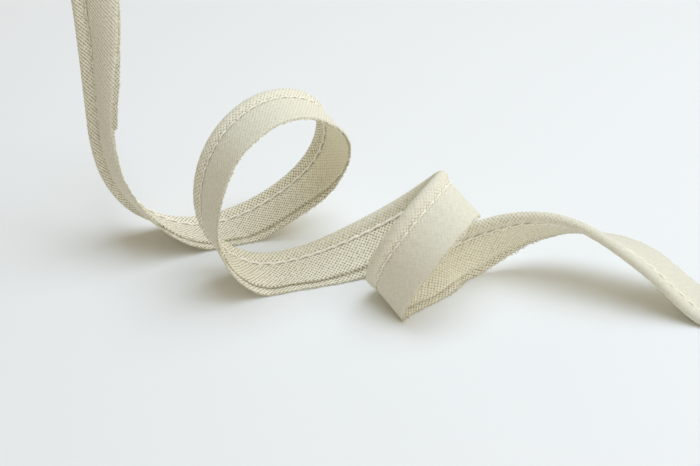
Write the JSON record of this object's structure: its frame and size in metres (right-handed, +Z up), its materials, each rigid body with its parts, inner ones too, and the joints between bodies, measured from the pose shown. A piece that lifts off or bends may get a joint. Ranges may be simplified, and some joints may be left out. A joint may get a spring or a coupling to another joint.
{
  "type": "length of insertion piping trim",
  "caption": "Bias-cut cotton strip folded round a cord and stitched, lying in two loose curls and an arch with one end standing up.",
  "frame": {"origin": "middle of the bounding box at the level of the table it lies on", "axes": "+X along the run of the strip, from the standing end to the lying end; +Y away from the viewer of the picture; +Z up"},
  "size_m": [0.1438, 0.056, 0.0548],
  "materials": {
    "natural_cotton": "plain-woven undyed cotton, matt, cut on the bias, with matching cotton stitching"
  },
  "bodies": {
    "root": {"folded_strip": "natural_cotton"}
  },
  "joints": []
}
